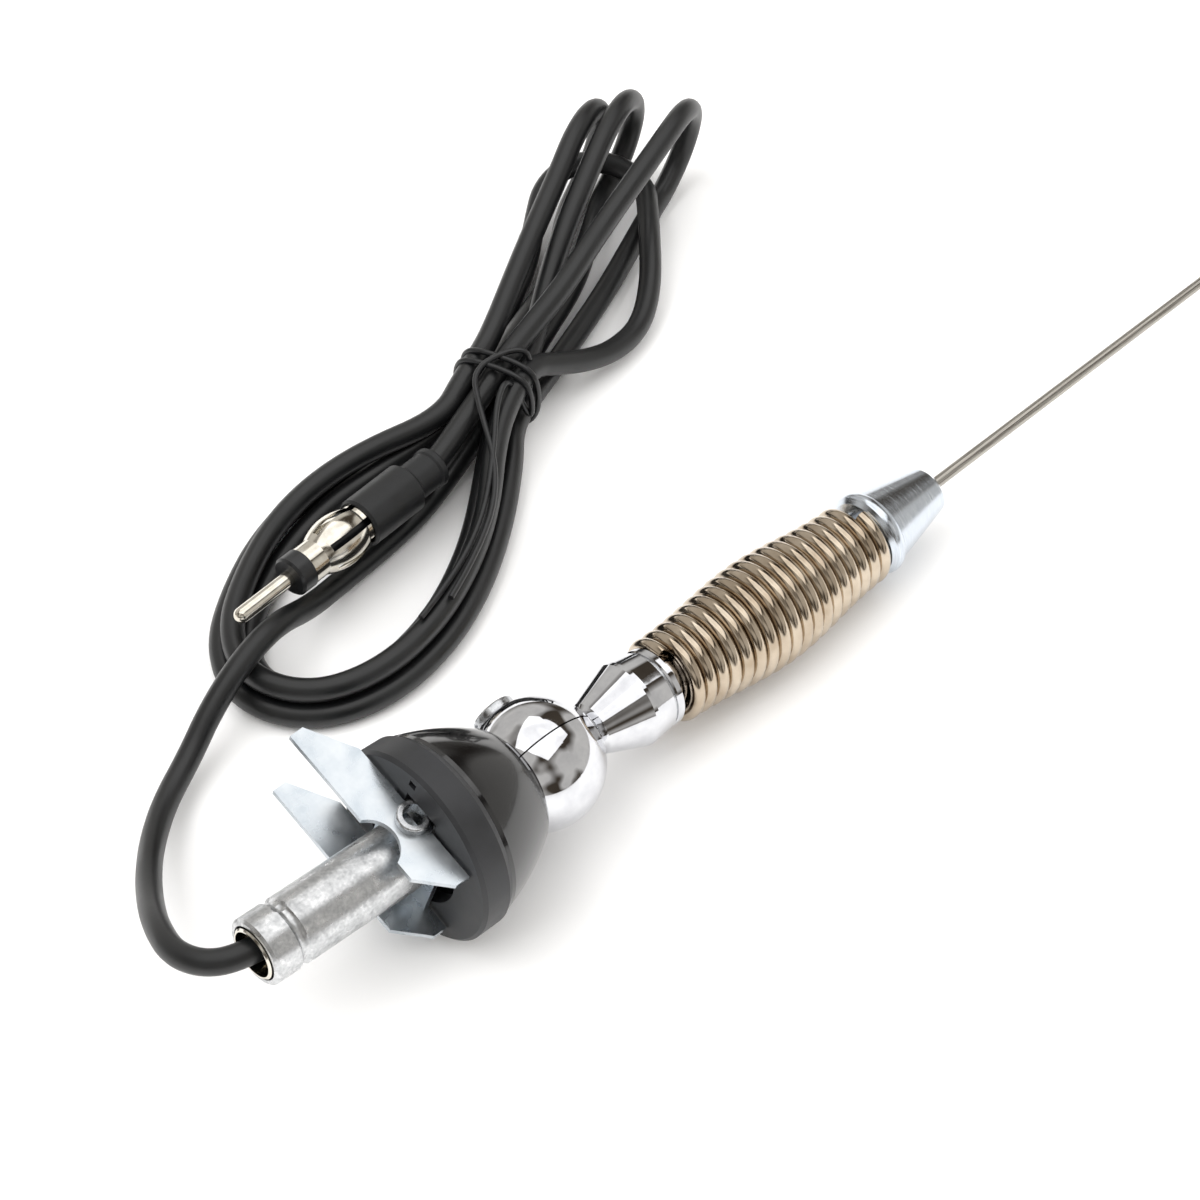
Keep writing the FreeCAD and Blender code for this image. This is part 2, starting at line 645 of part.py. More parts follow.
def hank_tie():
    """Two turns of plastic-covered wire round the hank's waist."""
    turns = []
    offset = tie_wire / 2 + 0.05
    low, high, side = hank_foot - offset, waist_top + offset, waist_half + offset
    corners = [(-side, low), (side, low), (side, high), (-side, high)]
    for s in (-2.4, 2.4):
        middle = in_hank(s, 0, low)
        section = Part.Wire(Part.makeCircle(tie_wire / 2, middle, hank_across))
        spine = Part.makePolygon([middle] + [in_hank(s, w, z) for w, z in corners[1:] + corners[:1]] + [middle])
        turns.append(spine.makePipeShell([section], True, False, 1))
    return Part.makeCompound(turns)


# ---- plug ---------------------------------------------------------------------
plug_tail = in_hank(-27.5, 1.6, 11.8)
plug_nose = in_hank(-81.8, 16.4, 16.6)
plug_direction = (plug_nose - plug_tail).normalize()
plug_place = Placement(plug_tail, Rotation(X_AXIS, plug_direction))
sleeve_end = plug_sleeve_length
boot_end = sleeve_end + plug_boot_length
shell_end = boot_end + plug_shell_length
insulator_end = shell_end + plug_insulator_length
plug_end = insulator_end + plug_pin_length


def plug_sleeve():
    """Narrow end of the rubber boot, gripping the lead, with a raised ring."""
    outer = plug_sleeve_diameter / 2
    return turned([(0, coax_radius + seat_clearance), (0, outer), (0.4, outer + 0.35), (1.6, outer + 0.35),
                   (2.0, outer), (sleeve_end, outer), (sleeve_end, coax_radius + seat_clearance)])


def plug_boot():
    """Wide part of the rubber boot, over the shell's tail."""
    outer = plug_boot_diameter / 2
    return turned([(sleeve_end, 0), (sleeve_end, outer - 0.9), (sleeve_end + 0.9, outer), (boot_end - 0.5, outer),
                   (boot_end, outer - 0.5), (boot_end, plug_shell_tail_diameter / 2 + seat_clearance),
                   (boot_end - 6, plug_shell_tail_diameter / 2 + seat_clearance), (boot_end - 6, 0)])


def plug_shell():
    """Nickel-plated contact shell: a thin bulging tube split into springy leaves."""
    neck = plug_shell_diameter / 2
    tail = plug_shell_tail_diameter / 2
    belly = plug_shell_belly / 2
    wall = plug_shell_wall
    start, end = boot_end - 6, shell_end
    low, middle, high = boot_end + 1.2, boot_end + plug_shell_belly_at, boot_end + plug_shell_belly_end
    shell = turned([(start, tail - wall), (start, tail), (low, tail, "arc", middle, belly), (high, neck),
                    (end, neck), (end, neck - wall),
                    (high, neck - wall, "arc", middle, belly - wall), (low, tail - wall)])
    for i in range(plug_slots):
        slot = block((start + 2, boot_end + plug_slot_end), (-plug_slot_width / 2, plug_slot_width / 2),
                     (neck - 1.2, belly + 1))
        slot.rotate(ORIGIN, X_AXIS, 360 / plug_slots * i + 12)
        shell = shell.cut(slot)
    return shell


def plug_core():
    """Black inner insulator that the leaves stand round."""
    radius = plug_shell_diameter / 2 - plug_shell_wall - 0.9
    return ring(radius, plug_pin_root_diameter / 2 + seat_clearance, boot_end - 5.9, shell_end - 0.1)


def plug_insulator():
    """Black collar between shell and pin."""
    outer = plug_insulator_diameter / 2
    bore = plug_pin_root_diameter / 2 + seat_clearance
    return turned([(shell_end, bore), (shell_end, outer), (insulator_end - 0.5, outer), (insulator_end, outer - 0.5),
                   (insulator_end, bore)])


def plug_pin():
    """Round-nosed centre pin."""
    radius = plug_pin_diameter / 2
    root = plug_pin_root_diameter / 2
    return turned([(boot_end - 4, 0), (boot_end - 4, root), (insulator_end, root), (insulator_end, radius),
                   (plug_end - radius, radius, "arc", plug_end - radius * (1 - math.sqrt(0.5)), radius * math.sqrt(0.5)),
                   (plug_end, 0)])


def coax_tail():
    """The short stretch from the bundle to the plug."""
    start = plug_tail
    end = in_hank(hank_face, 0.5, 13.4)
    return Part.makeCylinder(coax_radius, (end - start).Length, start, end - start)


# ---- build --------------------------------------------------------------------
def main():
    os.makedirs("parts", exist_ok=True)
    for name, piece in (("base_gasket", base_gasket), ("base_bell", base_bell), ("base_knuckle", base_knuckle),
                        ("friction_disc", friction_disc), ("pivot_screw", pivot_screw),
                        ("pivot_washer", pivot_washer_ring), ("mount_tube", mount_tube),
                        ("stem_insulator", stem_insulator), ("contact_lug", contact_lug), ("stem_nut", stem_nut),
                        ("lead_sleeve", lead_sleeve), ("lead_inner", lead_inner), ("claw_bracket", claw_bracket),
                        ("claw_bush", claw_bush), ("mast_knuckle", mast_knuckle), ("lock_washer", lock_washer_ring),
                        ("spring_plug", spring_plug)):
        write(name, piece(), base_place)
    write("mast_spring", mast_spring())
    top_point, top_slope = spring_axis(spring_length)
    whip_place = Placement(top_point, Rotation(Y_AXIS, math.degrees(top_slope)))
    for name, piece in (("upper_ferrule", upper_ferrule), ("whip", whip), ("tip_bead", tip_bead)):
        write(name, piece(), whip_place)
    for name, piece in (("plug_sleeve", plug_sleeve), ("plug_boot", plug_boot), ("plug_shell", plug_shell),
                        ("plug_core", plug_core), ("plug_insulator", plug_insulator), ("plug_pin", plug_pin)):
        write(name, piece(), plug_place)
    for name, piece in (("coax_lead", coax_lead), ("coax_hank", coax_hank), ("hank_tie", hank_tie),
                        ("coax_tail", coax_tail)):
        write(name, piece())
    flex_point, flex_slope = spring_axis(spring_length / 2)
    print("surface z %.3f" % surface_z, "base tip %.3f deg" % math.degrees(base_tip))
    print("ball centre", ball_centre, "pivot axis", base_place.Rotation.multVec(Y_AXIS))
    print("base axis", base_place.Rotation.multVec(X_AXIS), "flex point", flex_point)
    print("plug nose", plug_place.multVec(Vector(plug_end, 0, 0)), "direction", plug_direction)


main()
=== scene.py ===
import bmesh
import bpy
import json
import math
from mathutils import Matrix, Vector


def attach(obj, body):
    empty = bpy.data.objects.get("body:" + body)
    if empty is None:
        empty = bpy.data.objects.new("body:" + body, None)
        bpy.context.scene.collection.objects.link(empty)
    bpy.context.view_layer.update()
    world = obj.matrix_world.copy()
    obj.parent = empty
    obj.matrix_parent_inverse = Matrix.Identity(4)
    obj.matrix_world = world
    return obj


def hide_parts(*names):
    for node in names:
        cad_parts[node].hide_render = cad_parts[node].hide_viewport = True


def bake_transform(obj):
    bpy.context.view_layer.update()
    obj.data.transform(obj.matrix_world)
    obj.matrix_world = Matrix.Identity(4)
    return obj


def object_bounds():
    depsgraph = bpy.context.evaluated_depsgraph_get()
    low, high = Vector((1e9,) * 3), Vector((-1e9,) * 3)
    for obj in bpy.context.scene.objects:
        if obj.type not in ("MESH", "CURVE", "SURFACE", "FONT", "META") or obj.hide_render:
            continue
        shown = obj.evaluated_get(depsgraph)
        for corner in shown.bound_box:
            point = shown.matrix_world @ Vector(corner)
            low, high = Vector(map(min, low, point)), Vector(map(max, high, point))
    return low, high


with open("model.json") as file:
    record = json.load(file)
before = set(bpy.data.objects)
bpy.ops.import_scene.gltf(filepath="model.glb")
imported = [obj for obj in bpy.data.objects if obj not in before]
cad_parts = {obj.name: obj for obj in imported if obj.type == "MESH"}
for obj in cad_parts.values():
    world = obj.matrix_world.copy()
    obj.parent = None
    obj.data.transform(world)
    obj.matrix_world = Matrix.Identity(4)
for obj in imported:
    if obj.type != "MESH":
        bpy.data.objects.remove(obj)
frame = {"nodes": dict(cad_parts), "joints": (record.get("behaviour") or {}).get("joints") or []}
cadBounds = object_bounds()
mm = 0.001
nodes = frame["nodes"]

# the base's own directions: along it towards the ball, along the pivot screw, and square to both
joints = {joint["name"]: joint for joint in frame["joints"]}
ballCentre = Vector(joints["mast_swivel"]["pos_m"])
pivotAxis = Vector(joints["mast_swivel"]["axis"]).normalized()
baseAxis = -Vector(joints["claw_slide"]["axis"]).normalized()
clawNormal = baseAxis.cross(pivotAxis)
basePlace = Matrix((baseAxis, pivotAxis, clawNormal)).transposed().to_4x4()
floorHeight = cadBounds[0].z
print("frame loaded, floor at", round(floorHeight / mm, 2), "mm")


def hexColour(code):
    parts = [int(code[i:i + 2], 16) / 255 for i in (1, 3, 5)]
    linear = [part / 12.92 if part <= 0.04045 else ((part + 0.055) / 1.055) ** 2.4 for part in parts]
    return (*linear, 1.0)


def perSize(millimetres):
    # a noise scale of 1 repeats about once a metre
    return 1000 / millimetres


def addNode(tree, kind, settings={}, links={}):
    node = tree.nodes.new(kind)
    for key, value in settings.items():
        if isinstance(key, int) or key in node.inputs:
            node.inputs[key].default_value = value
        else:
            setattr(node, key, value)
    for key, socket in links.items():
        tree.links.new(socket, node.inputs[key])
    return node


def startMaterial(name, shaderSettings):
    material = bpy.data.materials.new(name)
    material.use_nodes = True
    tree = material.node_tree
    shader = tree.nodes["Principled BSDF"]
    for key, value in shaderSettings.items():
        shader.inputs[key].default_value = value
    place = addNode(tree, "ShaderNodeTexCoord").outputs["Object"]
    return material, tree, shader, place


def turnedPlace(tree, place, stretch, matrix=basePlace):
    # coordinates turned so that X runs along the piece, then stretched
    angles = matrix.to_3x3().inverted().to_euler()
    turned = addNode(tree, "ShaderNodeMapping", {"Rotation": angles}, {"Vector": place}).outputs[0]
    return addNode(tree, "ShaderNodeMapping", {"Scale": stretch}, {"Vector": turned}).outputs[0]


# a noise pattern stays mostly between these two values
patternLow, patternHigh = 0.3, 0.7
bumpStrength = 0.5


def mixColours(tree, factor, low, high):
    ramp = addNode(tree, "ShaderNodeValToRGB", {}, {"Fac": factor})
    for stop, at, colour in zip(ramp.color_ramp.elements, (patternLow, patternHigh), (low, high)):
        stop.position, stop.color = at, hexColour(colour)
    return ramp.outputs["Color"]


def spread(tree, value, low, high):
    limits = {"From Min": patternLow, "From Max": patternHigh, "To Min": low, "To Max": high}
    return addNode(tree, "ShaderNodeMapRange", limits, {"Value": value}).outputs["Result"]


def noise(tree, place, size, detail=3.0):
    return addNode(tree, "ShaderNodeTexNoise", {"Scale": perSize(size), "Detail": detail},
                   {"Vector": place}).outputs["Fac"]


def patterned(tree, shader, pattern, colours, roughness, bump, depth):
    # one pattern drives colour and roughness; the bump's depth is in millimetres
    tree.links.new(mixColours(tree, pattern, *colours), shader.inputs["Base Color"])
    tree.links.new(spread(tree, pattern, *roughness), shader.inputs["Roughness"])
    settings = {"Strength": bumpStrength, "Distance": depth * mm}
    raised = addNode(tree, "ShaderNodeBump", settings, {"Height": bump})
    tree.links.new(raised.outputs["Normal"], shader.inputs["Normal"])


def nitrileGasket():
    # moulded nitrile rubber: dull dark grey, fine mould grain, a faint bloom that comes and goes
    material, tree, shader, place = startMaterial("nitrileGasket", {"IOR": 1.52})
    bloom = noise(tree, place, 7.0)
    grain = noise(tree, place, 0.5, 4.0)
    patterned(tree, shader, bloom, ("#1c1d1f", "#27282b"), (0.4, 0.52), bump=grain, depth=0.03)
    return material


def blackEnamel():
    # stove enamel over a pressed dome: deep black, wet gloss, the faintest orange peel
    material, tree, shader, place = startMaterial("blackEnamel", {"Coat Weight": 0.6, "Coat Roughness": 0.05,
                                                                  "IOR": 1.5})
    peel = noise(tree, place, 2.2, 1.0)
    haze = noise(tree, place, 9.0)
    patterned(tree, shader, haze, ("#070708", "#0c0c0e"), (0.14, 0.22), bump=peel, depth=0.01)
    return material


def chromePlate():
    # bright chromium over a polished casting: a mirror, with the slight waviness of polished zinc
    material, tree, shader, place = startMaterial("chromePlate", {"Metallic": 1.0})
    wave = noise(tree, place, 5.0, 1.0)
    smudge = noise(tree, place, 3.0, 4.0)
    patterned(tree, shader, smudge, ("#cbccd0", "#dcdde0"), (0.03, 0.08), bump=wave, depth=0.02)
    return material


def mottledZinc():
    # barrel-plated zinc on tube: pale, patchy spangle, small dings from tumbling
    material, tree, shader, place = startMaterial("mottledZinc", {"Metallic": 1.0})
    patch = noise(tree, place, 2.6, 5.0)
    fine = noise(tree, place, 0.7, 3.0)
    both = addNode(tree, "ShaderNodeMath", {"operation": "ADD"}, {0: patch, 1: fine})
    half = addNode(tree, "ShaderNodeMath", {"operation": "MULTIPLY", 1: 0.5}, {0: both.outputs[0]}).outputs[0]
    patterned(tree, shader, half, ("#a3a5a7", "#dedfe0"), (0.42, 0.22), bump=fine, depth=0.05)
    return material


def blueZincSheet():
    # clear-passivated zinc on pressed steel: a cool blue cast, satin, with rolling lines
    material, tree, shader, place = startMaterial("blueZincSheet", {"Metallic": 1.0})
    rolled = noise(tree, turnedPlace(tree, place, (6.0, 0.35, 6.0)), 1.6, 4.0)
    cloud = noise(tree, place, 5.5, 3.0)
    patterned(tree, shader, cloud, ("#b4bcc3", "#d8dde1"), (0.22, 0.36), bump=rolled, depth=0.015)
    return material


def warmNickel():
    # bright nickel on spring wire: a warm mirror with faint drawing marks
    material, tree, shader, place = startMaterial("warmNickel", {"Metallic": 1.0})
    tone = noise(tree, place, 6.0, 3.0)
    drawn = noise(tree, turnedPlace(tree, place, (8.0, 0.6, 0.6)), 1.2, 3.0)
    patterned(tree, shader, tone, ("#a99985", "#cbbeac"), (0.09, 0.17), bump=drawn, depth=0.006)
    return material


def satinChrome():
    # chromium over a brushed turning: soft mirror with fine rings round the axis
    material, tree, shader, place = startMaterial("satinChrome", {"Metallic": 1.0})
    rings = noise(tree, turnedPlace(tree, place, (10.0, 0.4, 0.4), Matrix.Identity(4)), 1.4, 4.0)
    patterned(tree, shader, rings, ("#c3cad3", "#d9dfe6"), (0.16, 0.28), bump=rings, depth=0.008)
    return material


def drawnStainless():
    # stainless wire: greyish, satin, with lines along it
    material, tree, shader, place = startMaterial("drawnStainless", {"Metallic": 1.0})
    lines = noise(tree, turnedPlace(tree, place, (0.1, 5.0, 5.0), Matrix.Identity(4)), 1.0, 4.0)
    patterned(tree, shader, lines, ("#8d8983", "#b9b5ad"), (0.2, 0.34), bump=lines, depth=0.01)
    return material


def plugNickel():
    # nickel on turned and rolled brass: bright and slightly yellow
    material, tree, shader, place = startMaterial("plugNickel", {"Metallic": 1.0})
    tone = noise(tree, place, 2.5, 4.0)
    patterned(tree, shader, tone, ("#cfc9bc", "#e6e2d8"), (0.1, 0.2), bump=tone, depth=0.01)
    return material


def plainSteel():
    # turned steel with clear zinc: neutral grey, half bright
    material, tree, shader, place = startMaterial("plainSteel", {"Metallic": 1.0})
    tone = noise(tree, place, 0.9, 4.0)
    patterned(tree, shader, tone, ("#a8aaad", "#cfd1d4"), (0.18, 0.32), bump=tone, depth=0.015)
    return material


def bareBrass():
    # brass strip, slightly tarnished
    material, tree, shader, place = startMaterial("bareBrass", {"Metallic": 1.0})
    tone = noise(tree, place, 1.5, 4.0)
    patterned(tree, shader, tone, ("#a98b45", "#cdb06a"), (0.2, 0.35), bump=tone, depth=0.01)
    return material


def naturalNylon():
    # unfilled nylon: milky, a little translucent
    material, tree, shader, place = startMaterial("naturalNylon", {"Subsurface Weight": 0.2, "IOR": 1.53})
    tone = noise(tree, place, 2.0)
    patterned(tree, shader, tone, ("#d6d2c4", "#e4e1d6"), (0.4, 0.5), bump=tone, depth=0.01)
    return material


def redFibre():
    # vulcanised fibre: dark red, with pressed paper's fine tooth
    material, tree, shader, place = startMaterial("redFibre", {"IOR": 1.5})
    tone = noise(tree, place, 0.8, 4.0)
    patterned(tree, shader, tone, ("#56201a", "#6d2c22"), (0.55, 0.7), bump=tone, depth=0.03)
    return material


def blackNylon():
    # moulded black nylon and the tie's covering: near black with a tight sheen
    material, tree, shader, place = startMaterial("blackNylon", {"IOR": 1.53})
    tone = noise(tree, place, 1.2, 3.0)
    patterned(tree, shader, tone, ("#101112", "#1a1b1d"), (0.3, 0.42), bump=tone, depth=0.012)
    return material


def vinylJacket():
    # extruded plasticised vinyl: charcoal, low waxy sheen, extrusion ripple and dull handling scuffs
    material, tree, shader, place = startMaterial("vinylJacket", {"IOR": 1.53})
    scuff = noise(tree, place, 11.0, 6.0)
    ripple = noise(tree, place, 1.1, 3.0)
    patterned(tree, shader, scuff, ("#0d0e0f", "#151617"), (0.34, 0.46), bump=ripple, depth=0.02)
    return material


def bootRubber():
    # soft moulded boot: dull black with a sandy mould finish
    material, tree, shader, place = startMaterial("bootRubber", {"IOR": 1.5})
    tone = noise(tree, place, 4.0)
    grain = noise(tree, place, 0.45, 4.0)
    patterned(tree, shader, tone, ("#121314", "#1b1c1e"), (0.42, 0.55), bump=grain, depth=0.03)
    return material


def studioPaper():
    # matt white paper sweep
    material, tree, shader, place = startMaterial("studioPaper", {"Roughness": 0.9, "Specular IOR Level": 0.1})
    tone = noise(tree, place, 300.0)
    tree.links.new(mixColours(tree, tone, "#fbfbfb", "#fdfdfd"), shader.inputs["Base Color"])
    return material


gasketRubber, enamel, chrome = nitrileGasket(), blackEnamel(), chromePlate()
tubeZinc, sheetZinc, nickelWire = mottledZinc(), blueZincSheet(), warmNickel()
ferruleChrome, stainless, contactNickel = satinChrome(), drawnStainless(), plugNickel()
steel, brass, nylon, fibre = plainSteel(), bareBrass(), naturalNylon(), redFibre()
blackPlastic, vinyl, boot = blackNylon(), vinylJacket(), bootRubber()

nodeFinish = {
    "base_gasket": gasketRubber, "base_bell": enamel, "base_knuckle": chrome, "friction_disc": fibre,
    "pivot_screw": steel, "pivot_washer": steel, "mount_tube": tubeZinc, "stem_insulator": nylon,
    "contact_lug": brass, "stem_nut": steel, "lead_sleeve": contactNickel, "lead_inner": vinyl,
    "claw_bracket": sheetZinc, "claw_bush": steel, "mast_knuckle": chrome, "lock_washer": steel,
    "spring_plug": chrome, "mast_spring": nickelWire, "upper_ferrule": ferruleChrome, "whip": stainless,
    "tip_bead": ferruleChrome, "plug_sleeve": boot, "plug_boot": boot, "plug_shell": contactNickel,
    "plug_core": blackPlastic, "plug_insulator": blackPlastic, "plug_pin": contactNickel,
    "coax_lead": vinyl, "coax_hank": vinyl, "coax_tail": vinyl, "hank_tie": blackPlastic}
for name, finish in nodeFinish.items():
    slots = nodes[name].data.materials
    slots.clear()
    slots.append(finish)
print("materials made for", len(nodeFinish), "nodes")

# the lead: its route on the surface, then the hank's turns, in millimetres
lead = {"diameter": 5.0, "tie": (95.2, 83.0), "heading": 22.7, "leadStart": 30.0,
        "floorGap": 2.7, "stackGap": 7.4, "standHeight": 27.0}
leadPoints = [(-37.3, 0.7, 3.8), (-43.4, 3.4, 4.0), (-46.2, 9.8, 2.8), (-44.2, 18.0, -0.4), (-40.2, 26.4, -5.5),
              (-34.9, 34.8, -10.1), (-28.4, 42.6, -13.9), (-20.6, 49.4, -16.3), (-11.0, 54.2, -15.8),
              (-2.2, 57.6, -11.3), (8.0, 60.2, -7.5), (18.4, 62.8, -7.5), (29.0, 66.0, -14.2), (39.0, 68.8, -17.0),
              (50.6, 70.2, -17.6), (62.4, 71.8, -17.3), (73.7, 75.0, -16.2)]
# where each strand passes under the tie: across the hank, and above the surface
slotAt = {"low right": (-5.6, 4.7), "low middle": (0, 4.7), "low left": (5.6, 4.7), "mid right": (-2.8, 9.6),
          "mid left": (2.8, 9.6), "top right": (-5.6, 14.4), "top middle": (0, 14.4), "top left": (5.6, 14.4)}
tieAlong = Vector((math.cos(math.radians(lead["heading"])), math.sin(math.radians(lead["heading"])), 0))
tieAcross = Vector((-tieAlong.y, tieAlong.x, 0))
tiePoint = Vector((*lead["tie"], floorHeight / mm))


def inHank(along, across, height):
    return tiePoint + tieAlong * along + tieAcross * across + Vector((0, 0, height))


def between(low, high, share):
    return low + (high - low) * share


# a standing loop's far bend: how much of a half turn its points cover, and what makes up for their rounding
bend = {"points": 5, "turn": 0.85, "widen": 1.2, "lift": 1.03}


def standingLoop(out, back, reach, outMid, outFar, backMid, backFar, outFix={}, backFix={}):
    # out along the surface, round a steep bend, and back along the top
    start, end = slotAt[out], slotAt[back]
    low, high = lead["floorGap"], lead["standHeight"]
    rise = (high - low) / 2
    points = [(5, *start), (0.16 * reach, between(start[0], outMid, 0.3), between(start[1], low, 0.45)),
              (0.31 * reach, between(start[0], outMid, 0.75), low + 0.5), (0.49 * reach, outMid, low),
              (0.67 * reach, between(outMid, outFar, 0.5), low), (reach - 16, between(outMid, outFar, 0.9), low)]
    for i in range(bend["points"]):
        angle = math.pi * bend["turn"] * (i / (bend["points"] - 1) - 0.5)
        points.append((reach - rise + (rise + bend["widen"]) * math.cos(angle),
                       between(outFar, backFar, (1 + math.sin(angle)) / 2),
                       low + rise * (1 + bend["lift"] * math.sin(angle))))
    points += [(reach - 18, between(backMid, backFar, 0.9), high),
               (0.65 * reach, between(backMid, backFar, 0.5), high - 2.2),
               (0.46 * reach, backMid, between(end[1], high, 0.62)),
               (0.29 * reach, between(end[0], backMid, 0.6), between(end[1], high, 0.32)),
               (0.16 * reach, between(end[0], backMid, 0.2), between(end[1], high, 0.1)), (5, *end)]
    for index, point in {**outFix, **backFix}.items():
        points[index] = point
    return points


# the outermost turn on the plug's side of the tie, along and across, from its right end round to its left
ovalTurn = [(-14, -9.8), (-30, -14.8), (-46, -17.8), (-62, -18.0), (-77, -14), (-88, -5.5), (-92, 5), (-90, 16),
            (-81, 24), (-68, 27.6), (-54, 29), (-40, 27), (-26, 20.4), (-14, 12.2)]
ovalCentre, ovalHalf = (-48, 5.5), (44, 23.2)


def ovalLoop(right, left, insets, heights, fixes={}):
    # the oval, drawn in by an inset at each of its points, from the right of the tie to the left
    points = [(-5, *slotAt[right])]
    for (along, across), inset, height in zip(ovalTurn, insets, heights):
        points.append((ovalCentre[0] + (along - ovalCentre[0]) * (1 - inset / ovalHalf[0]),
                       ovalCentre[1] + (across - ovalCentre[1]) * (1 - inset / ovalHalf[1]), height))
    points.append((-5, *slotAt[left]))
    for index, point in fixes.items():
        points[index] = point
    return points


def hankTurns():
    flatLoop = [(5, -5.7, 13.9), (10, -8.6, 11.0), (17, -12.8, 7.0), (25, -16.2, 4.2), (35, -18.0, 3.2),
                (46, -15.6, 5.0), (56, -11.0, 8.0), (65, -6.6, 8.5), (71.5, -3.2, 8.6), (75.0, 5.0, 9.6),
                (71.4, 13.8, 10.4), (63, 18.4, 8.6), (54, 16.6, 5.0), (42, 13.0, 3.0), (28, 11.2, 2.8),
                (15, 8.6, 3.6), (5, *slotAt["low left"])]
    floorRun, stackRun = [lead["floorGap"]] * 10, [lead["stackGap"]] * 10
    passes = [
        standingLoop("low middle", "mid right", reach=85, outMid=1.0, outFar=7.5, backMid=2.4, backFar=4.5,
                     backFix={-2: (15, -1.4, 9.9), -3: (26, 1.0, 14.0)}),
        ovalLoop("mid right", "mid left", insets=[3.6] + [5.4] * 8 + [5.8, 6.2, 6.4, 6.0, 5.2],
                 heights=[6.2, 3.2] + floorRun + [3.0, 6.2], fixes={1: (-15, -4.9, 6.2), -2: (-15, 7.3, 6.6)}),
        standingLoop("mid left", "top left", reach=79, outMid=6.0, outFar=13.2, backMid=7.8, backFar=10.2,
                     outFix={1: (15, 4.4, 7.6), 2: (28, 5.8, 3.8)}),
        ovalLoop("top right", "top left", insets=[2.9] + [2.7] * 12 + [5.0],
                 heights=[12.0, 7.8] + stackRun + [8.0, 11.6],
                 fixes={1: (-15, -6.6, 12.0), -2: (-15, 5.8, 12.0)})[::-1],
        flatLoop,
        ovalLoop("low right", "low left", insets=[0] * 14,
                 heights=[4.0, 2.9] + floorRun + [2.8, 3.4])[::-1],
        standingLoop("low right", "top middle", reach=87.5, outMid=-6.2, outFar=-5.0, backMid=-5.4, backFar=-9.0,
                     backFix={-2: (14, -1.8, 16.4), -3: (25, -4.4, 19.6)})]
    return [inHank(*point) for turn in passes for point in turn]


def roundStrand(name, points, diameter, finish, roundness, steps):
    # a smooth round strand that passes close to each point, in millimetres
    data = bpy.data.curves.new(name, "CURVE")
    data.dimensions = "3D"
    data.bevel_depth = diameter / 2 * mm
    data.bevel_resolution, data.resolution_u = roundness, steps
    data.use_fill_caps = True
    spline = data.splines.new("NURBS")
    spline.points.add(len(points) - 1)
    for place, point in zip(spline.points, points):
        place.co = (*(point * mm), 1)
    spline.order_u = 3
    spline.use_endpoint_u = True
    piece = bpy.data.objects.new(name, data)
    bpy.context.scene.collection.objects.link(piece)
    data.materials.append(finish)
    return piece


def makeLead():
    start = -baseAxis * lead["leadStart"]
    tail = [inHank(-5, 0, 14.4), inHank(-14, 0.6, 13.6), inHank(-22, 1.3, 12.3), inHank(-29, 2.0, 11.85)]
    points = [start] + [Vector(point) for point in leadPoints] + [inHank(-11, 0.3, 4.8)] + hankTurns() + tail
    piece = roundStrand("coaxLead", points, lead["diameter"], vinyl, roundness=6, steps=8)
    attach(piece, "base")
    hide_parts("coax_lead", "coax_hank", "coax_tail")
    return piece, start * mm


leadPiece, leadExit = makeLead()
print("lead laid")


def wireTie():
    # two rounds of covered wire with crossed ends that lie along the strands
    tie = {"wire": 1.3, "half": 8.4 + 0.7, "low": 1.3, "high": 17.9, "corner": 3.4}
    side, low, high, corner = tie["half"], tie["low"], tie["high"], tie["corner"]
    outline = [(-side, low + corner), (-side, high - corner), (-side + corner, high), (side - corner, high),
               (side, high - corner), (side, low + corner), (side - corner, low), (-side + corner, low)]
    ring = [(along + 0.2 * i, *point) for along in (-2.6, 0.6) for i, point in enumerate(outline)]
    first = [(-64, -13.4, 10.6), (-52, -14.8, 10.7), (-36, -13.6, 10.8), (-22, -9.4, 13.2), (-10, -4.6, 17.6),
             (-3.4, -4.4, 18.4)]
    last = [(5.2, -6.0, 18.3), (3.0, -1.0, 18.6), (-5.0, 3.4, 18.2), (-13.0, -2.0, 17.2), (-24.0, -11.6, 12.4),
            (-40.0, -16.4, 10.7), (-57.0, -16.6, 10.6)]
    points = [inHank(*point) for point in first + ring + last]
    piece = roundStrand("wireTie", points, tie["wire"], blackPlastic, roundness=3, steps=6)
    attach(piece, "base")
    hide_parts("hank_tie")
    return piece


tiePiece = wireTie()


def measuredLength(piece):
    line = piece.data.copy()
    line.bevel_depth = 0
    holder = bpy.data.objects.new("measure", line)
    bpy.context.scene.collection.objects.link(holder)
    mesh = bpy.data.meshes.new_from_object(holder)
    total = sum((mesh.vertices[e.vertices[0]].co - mesh.vertices[e.vertices[1]].co).length for e in mesh.edges)
    bpy.data.objects.remove(holder)
    return total


print("lead length", round(measuredLength(leadPiece), 4))


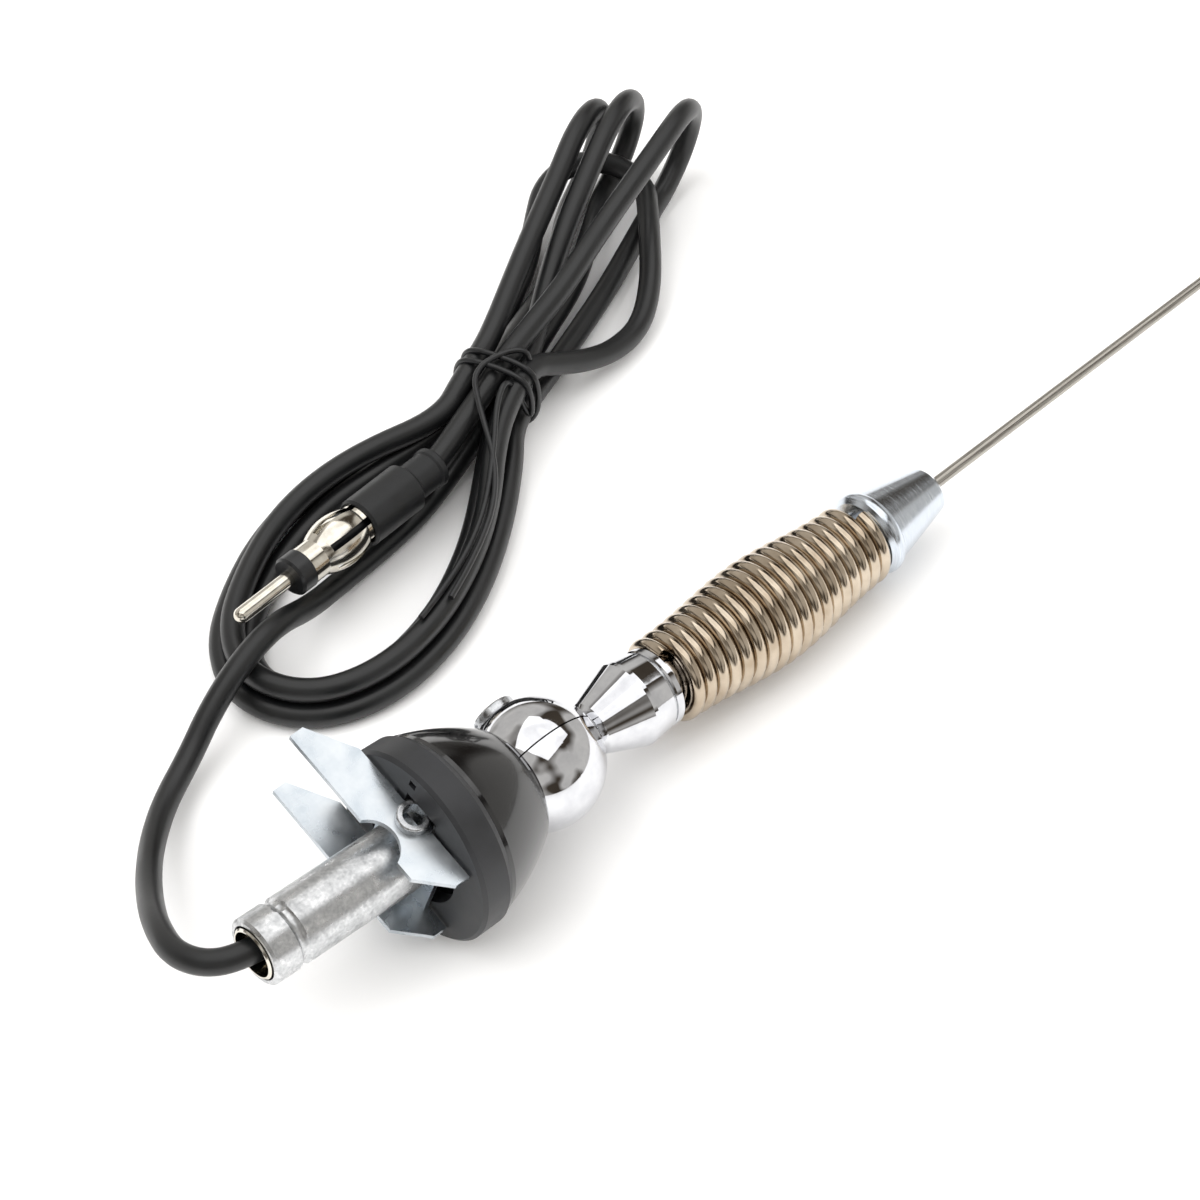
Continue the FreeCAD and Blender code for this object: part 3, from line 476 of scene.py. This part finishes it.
def springCoils():
    spring = {"start": 30.6, "length": 58.8, "wire": 3.0, "turns": 18, "base": 18.8, "belly": 23.0, "top": 18.4,
              "fullness": 2.6, "perTurn": 40}
    slope = math.atan2(-baseAxis.z, baseAxis.x)
    origin = ballCentre / mm + baseAxis * spring["start"]
    total = spring["turns"] * spring["perTurn"]
    points = []
    for i in range(total + 1):
        angle = 2 * math.pi * i / spring["perTurn"]
        distance = spring["wire"] / 2 + (spring["length"] - spring["wire"]) * i / total
        share = distance / spring["length"]
        tilt = slope * (1 - share)
        ends = between(spring["base"], spring["top"], share) / 2
        belly = (spring["belly"] - (spring["base"] + spring["top"]) / 2) / 2
        radius = ends + belly * math.sin(math.pi * share) ** spring["fullness"] - spring["wire"] / 2
        centre = origin + Vector((distance * math.cos(slope / 2), 0, -slope * distance * (1 - share / 2)))
        points.append(centre + Vector((math.sin(tilt) * math.cos(angle), math.sin(angle),
                                       math.cos(tilt) * math.cos(angle))) * radius)
    data = bpy.data.curves.new("springCoils", "CURVE")
    data.dimensions = "3D"
    data.bevel_depth = spring["wire"] / 2 * mm
    data.bevel_resolution = 7
    data.use_fill_caps = True
    line = data.splines.new("POLY")
    line.points.add(len(points) - 1)
    for place, point in zip(line.points, points):
        place.co = (*(point * mm), 1)
    holder = bpy.data.objects.new("springHolder", data)
    bpy.context.scene.collection.objects.link(holder)
    mesh = bpy.data.meshes.new_from_object(holder)
    bpy.data.objects.remove(holder)
    mesh.name = "springCoils"
    for face in mesh.polygons:
        face.use_smooth = True
    piece = bpy.data.objects.new("springCoils", mesh)
    bpy.context.scene.collection.objects.link(piece)
    mesh.materials.clear()
    mesh.materials.append(nickelWire)
    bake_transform(piece)
    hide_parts("mast_spring")
    return piece


springCoils()
print("spring wound")


def floorAndLights():
    size = 3.0
    build = bmesh.new()
    bmesh.ops.create_grid(build, x_segments=1, y_segments=1, size=size)
    mesh = bpy.data.meshes.new("studioFloor")
    build.to_mesh(mesh)
    build.free()
    floor = bpy.data.objects.new("studioFloor", mesh)
    bpy.context.scene.collection.objects.link(floor)
    floor.location = (0, 0, floorHeight - 0.0001)
    mesh.materials.append(studioPaper())
    target = Vector((0.06, 0.03, 0))
    # places and sizes in metres, power in watts; only the mirrored light shows in the plating
    lamps = [{"name": "softKey", "place": (-0.75, 0.55, 1.15), "size": (1.7, 1.4), "power": 21, "mirrored": False},
             {"name": "softTop", "place": (0.35, 0.15, 1.5), "size": (2.0, 2.0), "power": 17, "mirrored": True},
             {"name": "softFill", "place": (0.9, -0.8, 0.8), "size": (1.4, 1.2), "power": 9, "mirrored": False}]
    for lamp in lamps:
        data = bpy.data.lights.new(lamp["name"], "AREA")
        data.shape = "RECTANGLE"
        data.size, data.size_y = lamp["size"]
        data.energy = lamp["power"]
        light = bpy.data.objects.new(lamp["name"], data)
        bpy.context.scene.collection.objects.link(light)
        light.location = lamp["place"]
        light.visible_glossy = lamp["mirrored"]
        light.rotation_euler = (target - Vector(lamp["place"])).to_track_quat("-Z", "Y").to_euler()
    world = bpy.data.worlds.new("studioRoom")
    bpy.context.scene.world = world
    world.use_nodes = True
    tree = world.node_tree
    # a bright room with a few warm, dark patches, for the plating to mirror
    place = addNode(tree, "ShaderNodeTexCoord").outputs["Generated"]
    patches = addNode(tree, "ShaderNodeTexNoise", {"Scale": 1.7, "Detail": 1.0}, {"Vector": place})
    ramp = addNode(tree, "ShaderNodeValToRGB", {}, {"Fac": patches.outputs["Fac"]})
    for stop, (at, colour) in zip(ramp.color_ramp.elements, ((0.38, "#4d453c"), (0.54, "#e6e3de"))):
        stop.position, stop.color = at, hexColour(colour)
    background = tree.nodes["Background"]
    background.inputs["Strength"].default_value = 0.85
    tree.links.new(ramp.outputs["Color"], background.inputs["Color"])


def camera():
    # lens and sensor in millimetres, clipping in metres, places in millimetres
    view = {"lens": 83.8, "sensor": 36.0, "near": 0.01, "far": 20,
            "place": (-171.8, -232.1, 419.9), "target": (75.9, 30.9, -19.9)}
    data = bpy.data.cameras.new("studioCamera")
    data.sensor_width, data.lens = view["sensor"], view["lens"]
    data.clip_start, data.clip_end = view["near"], view["far"]
    eye = bpy.data.objects.new("studioCamera", data)
    bpy.context.scene.collection.objects.link(eye)
    place, target = Vector(view["place"]) * mm, Vector(view["target"]) * mm
    eye.location = place
    eye.rotation_euler = (target - place).to_track_quat("-Z", "Y").to_euler()
    bpy.context.scene.camera = eye
    bpy.context.scene.view_settings.view_transform = "Standard"


floorAndLights()
camera()
print("stage, lights and camera set")
